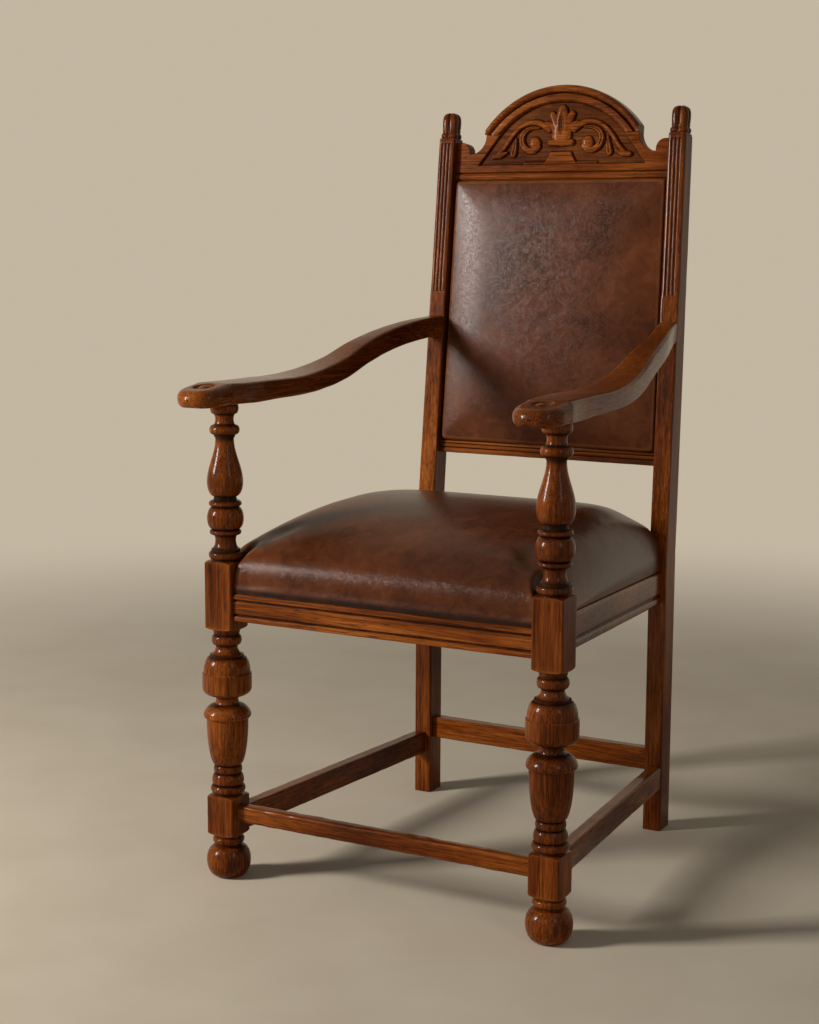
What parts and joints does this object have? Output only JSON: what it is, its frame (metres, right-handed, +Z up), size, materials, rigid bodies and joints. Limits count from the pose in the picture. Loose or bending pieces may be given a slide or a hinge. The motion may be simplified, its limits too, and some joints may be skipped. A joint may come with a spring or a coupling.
{
  "type": "dining armchair",
  "caption": "High-backed dark oak dining armchair with turned front legs, shaped arms, carved arched crest, and a crowned leather seat and leather back.",
  "frame": {"origin": "middle of the floor plan, on the floor", "axes": "+Z up, the chair faces -Y, +X is to the right of someone facing its front"},
  "size_m": [0.5978, 0.6874, 1.189],
  "materials": {
    "oak": "dark stained and waxed, worn lighter on the edges",
    "leather": "aged brown, semi-gloss",
    "frame_wood": "bare softwood",
    "webbing": "woven jute",
    "dust_cloth": "matt black cloth",
    "steel": "plain"
  },
  "bodies": {
    "root": {"front_leg_left": "oak", "front_leg_right": "oak", "back_post_left": "oak", "back_post_right": "oak", "finial_left": "oak", "finial_right": "oak", "arm_left": "oak", "arm_right": "oak", "front_seat_rail": "oak", "left_seat_rail": "oak", "right_seat_rail": "oak", "back_seat_rail": "oak", "front_stretcher": "oak", "left_stretcher": "oak", "right_stretcher": "oak", "back_stretcher": "oak", "crest_rail": "oak", "crest_arch_moulding": "oak", "top_back_rail": "oak", "lower_back_rail": "oak", "back_pad": "leather", "seat_pad": "leather", "rear_back_cover": "leather", "back_board": "frame_wood", "seat_slat_front": "frame_wood", "seat_slat_back": "frame_wood", "seat_slat_left": "frame_wood", "seat_slat_right": "frame_wood", "corner_block_front_left": "frame_wood", "corner_block_front_right": "frame_wood", "corner_block_back_left": "frame_wood", "corner_block_back_right": "frame_wood", "web_along_1": "webbing", "web_along_2": "webbing", "web_along_3": "webbing", "web_across_1": "webbing", "web_across_2": "webbing", "web_across_3": "webbing", "seat_dust_cover": "dust_cloth", "seat_screw_front_left": "steel", "seat_screw_front_right": "steel", "seat_screw_back_left": "steel", "seat_screw_back_right": "steel"}
  },
  "joints": []
}
